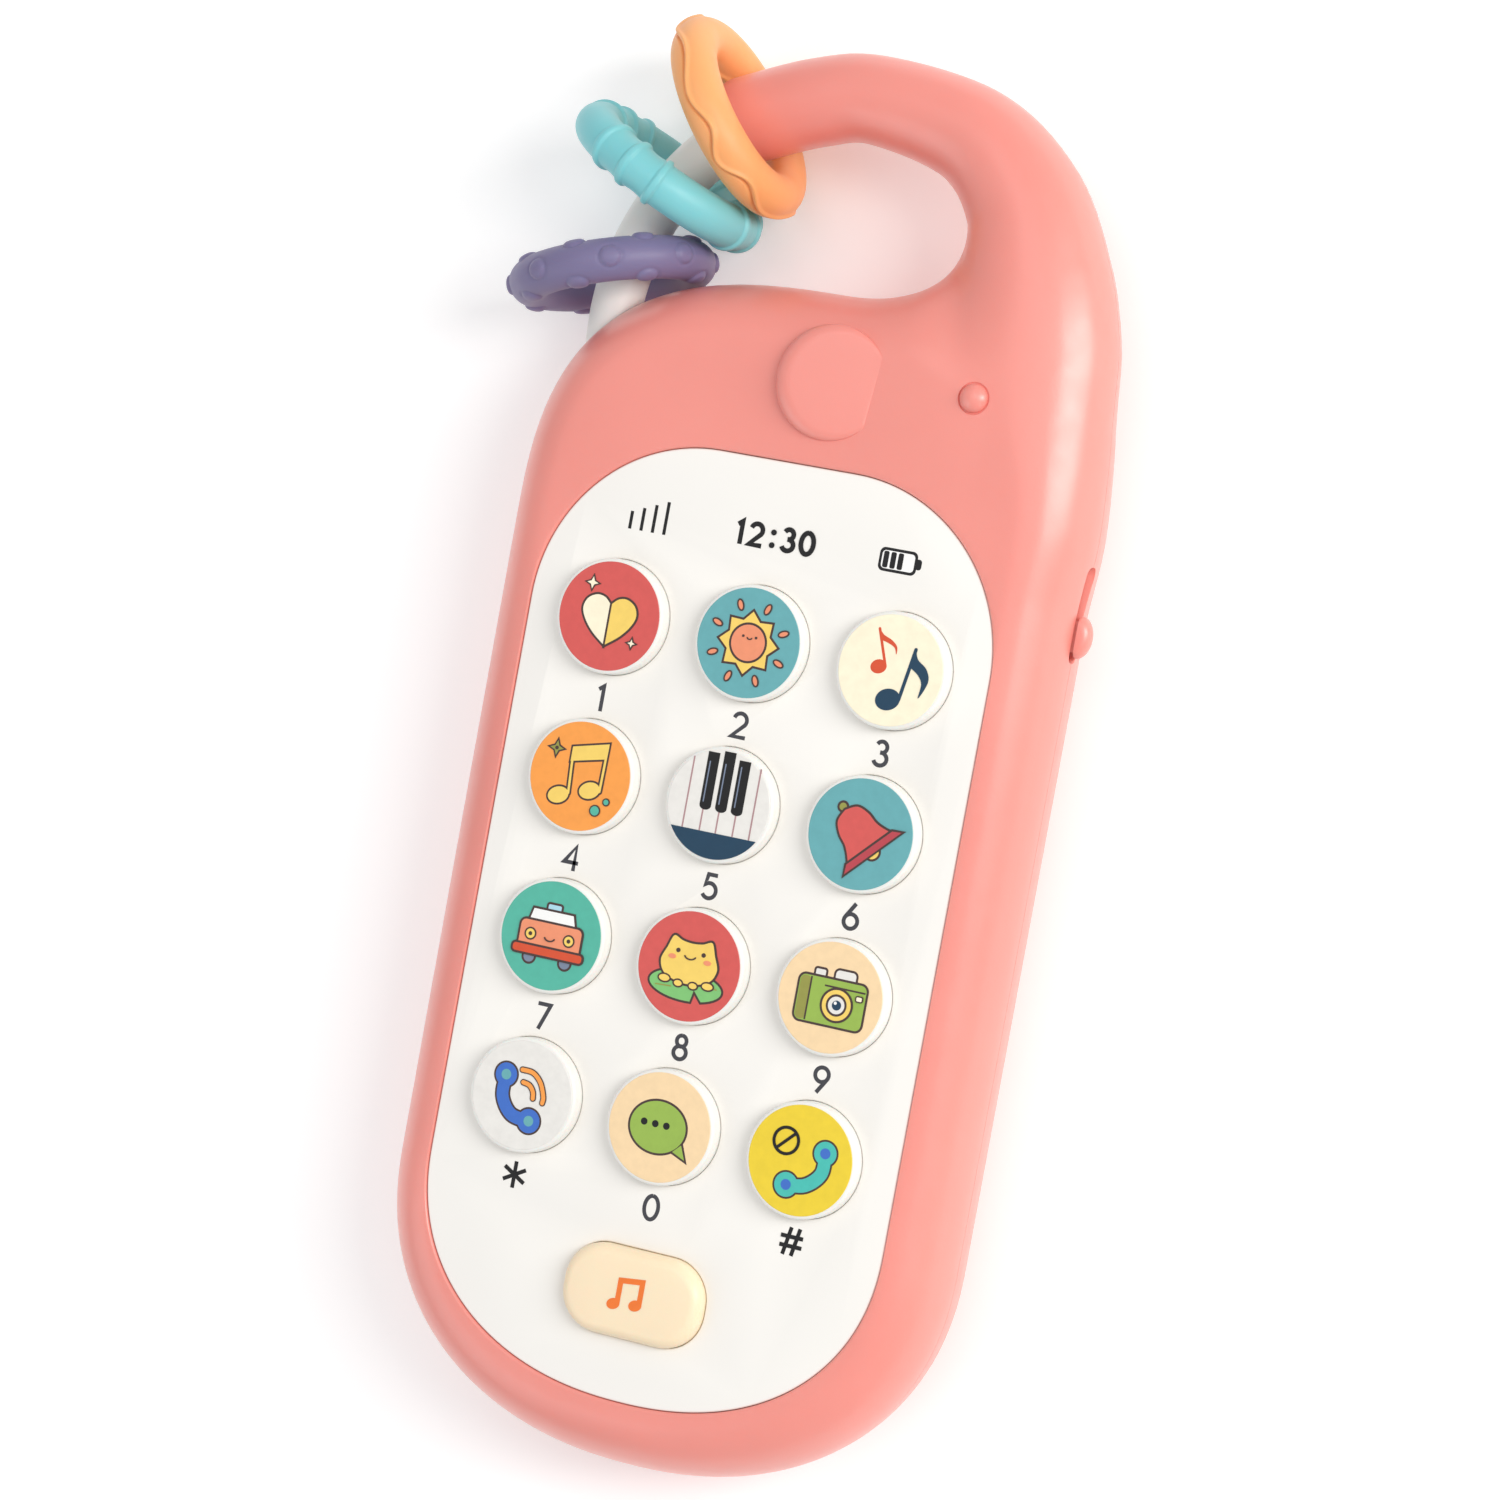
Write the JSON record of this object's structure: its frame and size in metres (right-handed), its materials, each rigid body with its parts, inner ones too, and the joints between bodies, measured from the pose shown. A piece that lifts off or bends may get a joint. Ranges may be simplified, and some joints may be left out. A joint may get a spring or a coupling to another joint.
{
  "type": "toy cell phone",
  "caption": "Toy phone for infants: a rounded casing with a trunk-shaped handle loop, loose rings on a bar, push buttons, a side slide switch and a battery door behind.",
  "frame": {"origin": "on the flat of the back, on the casing's centre line and under the middle of the button grid", "axes": "+Z out of the face, with the phone lying on its back; +Y along the casing towards the trunk loop; +X to the side that holds the slide switch"},
  "size_m": [0.083, 0.1783, 0.028],
  "materials": {
    "pink_plastic": "satin, fine matt grain",
    "panel_plastic": "semi-gloss, printed",
    "cap_plastic": "semi-gloss with a printed disc",
    "cream_plastic": "satin",
    "bar_plastic": "satin",
    "orange_plastic": "soft satin",
    "teal_plastic": "soft satin",
    "purple_plastic": "soft satin",
    "silicone": "translucent matt",
    "board": "solder mask",
    "black_plastic": "satin",
    "red_wire": "satin",
    "battery_jacket": "plain shrink jacket",
    "steel": "plated"
  },
  "bodies": {
    "casing": {"battery_1": "battery_jacket", "battery_2": "battery_jacket", "battery_wire_black": "black_plastic", "battery_wire_red": "red_wire", "bridge_plate": "steel", "bridge_spring": "steel", "case_screw_1": "steel", "case_screw_2": "steel", "case_screw_3": "steel", "case_screw_4": "steel", "circuit_board": "board", "face_panel": "panel_plastic", "front_shell": "pink_plastic", "keypad_membrane": "silicone", "negative_plate": "steel", "negative_spring": "steel", "positive_plate": "steel", "rear_shell": "pink_plastic", "ring_bar": "bar_plastic", "slide_switch": "steel", "sound_chip": "black_plastic", "speaker": "black_plastic", "speaker_wire_black": "black_plastic", "speaker_wire_red": "red_wire"},
    "button_1": {"button_1": "cap_plastic"},
    "button_2": {"button_2": "cap_plastic"},
    "button_3": {"button_3": "cap_plastic"},
    "button_4": {"button_4": "cap_plastic"},
    "button_5": {"button_5": "cap_plastic"},
    "button_6": {"button_6": "cap_plastic"},
    "button_7": {"button_7": "cap_plastic"},
    "button_8": {"button_8": "cap_plastic"},
    "button_9": {"button_9": "cap_plastic"},
    "button_star": {"button_star": "cap_plastic"},
    "button_0": {"button_0": "cap_plastic"},
    "button_hash": {"button_hash": "cap_plastic"},
    "mode_button": {"mode_button": "cream_plastic"},
    "switch_knob": {"switch_knob": "pink_plastic"},
    "orange_ring": {"orange_ring": "orange_plastic"},
    "teal_ring": {"teal_ring": "teal_plastic"},
    "purple_ring": {"purple_ring": "purple_plastic"},
    "battery_door": {"battery_door": "pink_plastic", "door_screw": "steel"}
  },
  "joints": [
    {"name": "button_1_press", "type": "slide", "parent": "casing", "child": "button_1", "axis": [0, 0, -1], "range_m": [0, 0.0012], "stiffness_N_per_m": 300},
    {"name": "button_2_press", "type": "slide", "parent": "casing", "child": "button_2", "axis": [0, 0, -1], "range_m": [0, 0.0012], "stiffness_N_per_m": 300},
    {"name": "button_3_press", "type": "slide", "parent": "casing", "child": "button_3", "axis": [0, 0, -1], "range_m": [0, 0.0012], "stiffness_N_per_m": 300},
    {"name": "button_4_press", "type": "slide", "parent": "casing", "child": "button_4", "axis": [0, 0, -1], "range_m": [0, 0.0012], "stiffness_N_per_m": 300},
    {"name": "button_5_press", "type": "slide", "parent": "casing", "child": "button_5", "axis": [0, 0, -1], "range_m": [0, 0.0012], "stiffness_N_per_m": 300},
    {"name": "button_6_press", "type": "slide", "parent": "casing", "child": "button_6", "axis": [0, 0, -1], "range_m": [0, 0.0012], "stiffness_N_per_m": 300},
    {"name": "button_7_press", "type": "slide", "parent": "casing", "child": "button_7", "axis": [0, 0, -1], "range_m": [0, 0.0012], "stiffness_N_per_m": 300},
    {"name": "button_8_press", "type": "slide", "parent": "casing", "child": "button_8", "axis": [0, 0, -1], "range_m": [0, 0.0012], "stiffness_N_per_m": 300},
    {"name": "button_9_press", "type": "slide", "parent": "casing", "child": "button_9", "axis": [0, 0, -1], "range_m": [0, 0.0012], "stiffness_N_per_m": 300},
    {"name": "button_star_press", "type": "slide", "parent": "casing", "child": "button_star", "axis": [0, 0, -1], "range_m": [0, 0.0012], "stiffness_N_per_m": 300},
    {"name": "button_0_press", "type": "slide", "parent": "casing", "child": "button_0", "axis": [0, 0, -1], "range_m": [0, 0.0012], "stiffness_N_per_m": 300},
    {"name": "button_hash_press", "type": "slide", "parent": "casing", "child": "button_hash", "axis": [0, 0, -1], "range_m": [0, 0.0012], "stiffness_N_per_m": 300},
    {"name": "mode_button_press", "type": "slide", "parent": "casing", "child": "mode_button", "axis": [0, 0, -1], "range_m": [0, 0.0012], "stiffness_N_per_m": 300},
    {"name": "switch_slide", "type": "slide", "parent": "casing", "child": "switch_knob", "axis": [0, 1, 0], "range_m": [0, 0.0054]},
    {"name": "orange_ring_spin", "type": "hinge", "parent": "casing", "child": "orange_ring", "pos_m": [-0.0179, 0.0934, 0.0141], "axis": [0.829, 0.5592, 0], "continuous": true},
    {"name": "teal_ring_spin", "type": "hinge", "parent": "casing", "child": "teal_ring", "pos_m": [-0.0259, 0.085, 0.0141], "axis": [0.4695, 0.8829, 0], "continuous": true},
    {"name": "purple_ring_spin", "type": "hinge", "parent": "casing", "child": "purple_ring", "pos_m": [-0.031, 0.0719, 0.0141], "axis": [-0.309, 0.9511, 0], "continuous": true},
    {"name": "battery_door_lift", "type": "slide", "parent": "casing", "child": "battery_door", "axis": [0, 0, -1], "range_m": [0, 0.02]}
  ]
}
